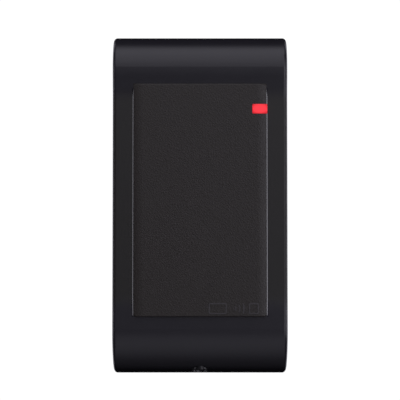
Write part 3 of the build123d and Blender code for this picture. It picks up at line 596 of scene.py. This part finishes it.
# name: colour, roughness, colour spread, patch size, grain size, grain depth, stretch, constants
simple = {
    "ceramic_tan": ((0.46, 0.33, 0.20), 0.50, 0.12, 0.5, 0.05, 0.006, even, {}),
    "chip_black": ((0.026, 0.026, 0.028), 0.55, 0.18, 2.0, 0.08, 0.008, even, {}),
    "crystal_can": ((0.62, 0.60, 0.56), 0.26, 0.08, 1.5, 0.09, 0.005, (0.1, 1, 1), metal),
    "film_red": ((0.42, 0.035, 0.022), 0.18, 0.15, 1.2, 0.7, 0.010, even, {"Coat_Weight": 0.5}),
    "gold_pin": ((0.83, 0.60, 0.24), 0.22, 0.07, 0.8, 0.06, 0.003, (1, 0.1, 1), metal),
    "header_ivory": (
        (0.76, 0.71, 0.58), 0.42, 0.05, 3.0, 0.2, 0.006, even, {"Subsurface_Weight": 0.15},
    ),
    "hot_glue": (
        (0.70, 0.63, 0.45), 0.25, 0.08, 1.0, 0.9, 0.060, even, {"Subsurface_Weight": 0.4},
    ),
    "led_resin": ((0.62, 0.05, 0.03), 0.10, 0.08, 0.6, 0.5, 0.004, even, {"Coat_Weight": 0.6}),
    "led_white": ((0.80, 0.80, 0.77), 0.38, 0.03, 1.0, 0.1, 0.004, even, {}),
    "nylon_white": (
        (0.76, 0.74, 0.66), 0.45, 0.05, 1.5, 0.15, 0.008, even, {"Subsurface_Weight": 0.2},
    ),
    "resistor_black": (
        (0.020, 0.020, 0.023), 0.20, 0.20, 0.4, 0.3, 0.006, even, {"Coat_Weight": 0.4},
    ),
    "silicone": (
        (0.22, 0.23, 0.25), 0.60, 0.06, 3.0, 0.3, 0.010, even, {"Subsurface_Weight": 0.05},
    ),
    "spring_steel": ((0.42, 0.42, 0.44), 0.30, 0.10, 0.5, 0.05, 0.004, even, metal),
    "switch_grey": ((0.13, 0.13, 0.14), 0.48, 0.10, 2.0, 0.15, 0.010, even, {}),
    "tin": ((0.66, 0.66, 0.64), 0.32, 0.10, 0.4, 0.1, 0.008, even, metal),
}
for name, (*finish, constants) in simple.items():
    looks[name] = grained(name, *finish, **constants).material
for part in frame["record"]["subparts"]:
    node = nodes[part["node"]]
    node.data.materials.clear()
    node.data.materials.append(looks[part["material_slot"]])


# ================================================================ pieces on the board
def solids_in(name):
    """Lowest and highest corner of each separate solid in a node."""
    mesh = nodes[name].data
    places = [tuple(round(c, 7) for c in vertex.co) for vertex in mesh.vertices]
    parent = {place: place for place in places}

    def root(place):
        while parent[place] != place:
            place = parent[place]
        return place

    for edge in mesh.edges:
        first, second = (root(places[i]) for i in edge.vertices)
        parent[first] = second
    boxes = {}
    for place in places:
        low, high = boxes.setdefault(root(place), (Vector(place), Vector(place)))
        low[:] = [min(pair) for pair in zip(low, place)]
        high[:] = [max(pair) for pair in zip(high, place)]
    return list(boxes.values())


def add_block(bm, low, high, edge):
    """A box between two corners with its edges rounded."""
    made = bmesh.ops.create_cube(bm, size=1.0)["verts"]
    size, middle = Vector(high) - Vector(low), (Vector(high) + Vector(low)) / 2
    bmesh.ops.scale(bm, vec=size, verts=made)
    bmesh.ops.translate(bm, vec=middle, verts=made)
    edges = list({e for v in made for e in v.link_edges})
    bmesh.ops.bevel(bm, geom=edges, offset=edge, segments=2, profile=0.5, affect="EDGES")


def add_turned(bm, x, z, profile, steps=24):
    """A solid turned round a line along Y. Its profile, pairs of radius and y, is closed on it."""
    rings = []
    for radius, y in profile:
        if radius == 0:
            rings.append([bm.verts.new((x, y, z))])
            continue
        turns = [2 * pi * i / steps for i in range(steps)]
        rings.append([bm.verts.new((x + radius * cos(t), y, z + radius * sin(t))) for t in turns])
    for inner, outer in zip(rings, rings[1:]):
        for i in range(steps):
            k = (i + 1) % steps
            corners = [inner[i % len(inner)], inner[k % len(inner)]]
            corners += [outer[k % len(outer)], outer[i % len(outer)]]
            bm.faces.new(list(dict.fromkeys(corners)))


def add_piece(name, slot, bm):
    """A new piece of the reader in one of the record's finishes."""
    bmesh.ops.recalc_face_normals(bm, faces=bm.faces)
    mesh = bpy.data.meshes.new(name)
    bm.to_mesh(mesh)
    bm.free()
    mesh.shade_smooth()
    mesh.set_sharp_from_angle(angle=radians(sharp_angle))
    mesh.materials.append(looks[slot])
    piece = bpy.data.objects.new(name, mesh)
    bpy.context.scene.collection.objects.link(piece)
    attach(piece, "reader")


def add_chip_ends():
    """Tinned caps over both ends of every chip resistor and chip capacitor."""
    bm = bmesh.new()
    for low, high in solids_in("chip_resistors") + solids_in("chip_capacitors"):
        along = 0 if high.x - low.x > high.z - low.z else 2
        proud = Vector((cap_proud,) * 3)
        for near_end in (True, False):
            start, end = low - proud, high + proud
            start.y, end.y = low.y - cap_proud, high.y
            if near_end:
                end[along] = low[along] + cap_length
            else:
                start[along] = high[along] - cap_length
            add_block(bm, start, end, cap_edge)
    add_piece("chip_ends", "tin", bm)


def add_silk_frame(bm, low, high, board_face):
    """A printed outline round a part's box."""
    x0, x1 = low.x - silk_gap, high.x + silk_gap
    z0, z1 = low.z - silk_gap, high.z + silk_gap
    top, line, edge = board_face - silk_thick, silk_line, silk_thick / 3
    add_block(bm, (x0, top, z0), (x1, board_face, z0 + line), edge)
    add_block(bm, (x0, top, z1 - line), (x1, board_face, z1), edge)
    add_block(bm, (x0, top, z0 + line), (x0 + line, board_face, z1 - line), edge)
    add_block(bm, (x1 - line, top, z0 + line), (x1, board_face, z1 - line), edge)


def add_silk_screen():
    """White printing on the board: an outline round parts, and a dot by each chip's first lead."""
    board_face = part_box("main_board")[0].y
    top = board_face - silk_thick
    bm = bmesh.new()
    for name in silk_outlined:
        for low, high in solids_in(name):
            add_silk_frame(bm, low, high, board_face)
    for name in silk_dotted:
        low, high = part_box(name)
        dot = [(0, top), (silk_dot, top), (silk_dot, board_face), (0, board_face)]
        add_turned(bm, low.x + 2 * silk_gap, low.z - silk_dot_drop, dot)
    add_piece("silk_screen", "led_white", bm)


def add_solder_cones():
    """A concave cone of solder round each header pin on the board's front."""
    board_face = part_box("main_board")[0].y
    bm = bmesh.new()
    for low, high in solids_in("header_pins"):
        middle = (low + high) / 2
        profile = [(cone_radius * share, board_face - rise) for share, rise in cone_shape]
        ends = (0, board_face), (0, profile[-1][1])
        add_turned(bm, middle.x, middle.z, [ends[0], *profile, ends[1]])
    add_piece("solder_cones", "tin", bm)


add_chip_ends()
add_silk_screen()
add_solder_cones()


# ================================================================ camera, lights and stage
def aim(thing, spot):
    """Turns a camera at its place so that it looks at a spot."""
    thing.rotation_euler = (Vector(spot) - thing.location).to_track_quat("-Z", "Y").to_euler()


def add_camera():
    data = bpy.data.cameras.new("camera")
    data.lens = camera_lens
    data.sensor_width = camera_sensor
    data.clip_start, data.clip_end = camera_clip
    camera = bpy.data.objects.new("camera", data)
    bpy.context.scene.collection.objects.link(camera)
    low, high = cad_box
    middle_y = (low[1] + high[1]) / 2
    below = radians(camera_below)
    camera.location = (0, middle_y - camera_distance * cos(below), -camera_distance * sin(below))
    aim(camera, (0, middle_y, camera_aim_height))
    bpy.context.scene.camera = camera


def add_world():
    """White where the camera looks past the reader. All else is a soft dome, patches of light
    beside the camera and behind the reader, and a pale wall behind it."""
    world = bpy.data.worlds.new("studio")
    world.use_nodes = True
    sky = Tree(world.node_tree)
    where = sky.add("TexCoord").outputs["Generated"]
    x, y, z = sky.add("SeparateXYZ", (where,)).outputs
    ahead = sky.math("MULTIPLY", y, -1.0)
    aside = sky.math("DEGREES", sky.math("ARCSINE", x))
    over = sky.math("DEGREES", sky.math("ARCTAN2", z, ahead))
    up = sky.math("DEGREES", sky.math("ARCSINE", z))
    around = sky.math("DEGREES", sky.math("ARCTAN2", x, ahead))

    first, last = dome_reach
    share = sky.add("MapRange", {"Value": over, "From Min": first, "From Max": last})
    dome = sky.add("ValToRGB", (share.outputs["Result"],))
    stops = dome.color_ramp.elements
    stops.remove(stops[1])
    for index, (angle, light) in enumerate(dome_light):
        place = (angle - first) / (last - first)
        stop = stops[0] if index == 0 else stops.new(place)
        stop.position = place
        stop.color = rgb(light, light, light)
    band = sky.span(aside, -dome_half, dome_half, dome_soft)
    light = sky.math("MULTIPLY", dome.outputs["Color"], band)
    for low, high, strength in side_light:
        patch = sky.span(around, low, high, side_soft)
        band = sky.span(up, *side_band, side_soft)
        light = sky.math("MULTIPLY_ADD", sky.product(patch, band), strength, light)
    wall = sky.product(sky.step(y, *wall_edge), sky.span(up, *wall_band, wall_soft))
    light = sky.math("MULTIPLY_ADD", wall, wall_light, light)
    wide = sky.step(sky.math("ABSOLUTE", aside), *back_aside)
    rear = sky.product(wide, sky.step(y, *back_edge), sky.span(up, *back_band, back_soft))
    light = sky.math("MULTIPLY_ADD", rear, back_light, light)

    soft = sky.add("Background", {"Color": rgb(*light_tint), "Strength": light})
    white = sky.add("Background", {"Color": rgb(1, 1, 1), "Strength": backdrop_white})
    seen = sky.add("LightPath").outputs["Is Camera Ray"]
    choice = sky.add("MixShader", (seen, soft.outputs[0], white.outputs[0]))
    sky.feed(sky.tree.nodes["World Output"].inputs["Surface"], choice.outputs[0])
    bpy.context.scene.world = world


def add_floor():
    """A pale round floor, far enough below to stay out of the reader's reflections."""
    bpy.ops.mesh.primitive_circle_add(vertices=floor_sides, radius=floor_radius, fill_type="NGON")
    floor = bpy.context.object
    floor.name = "floor"
    floor.location = (0, 0, -floor_drop)
    floor.visible_glossy = False
    floor.visible_diffuse = False
    glow = {"Emission_Color": rgb(1, 1, 1), "Emission_Strength": floor_glow}
    look = Look("floor_paint", Roughness=0.7, **glow)
    patches = look.noise(floor_patch, 3.0)
    look.set("Base Color", look.blend(patches, rgb(0.86, 0.86, 0.86), rgb(0.92, 0.92, 0.92)))
    floor.data.materials.append(look.material)


add_camera()
add_world()
add_floor()
bpy.context.scene.view_settings.view_transform = "Standard"
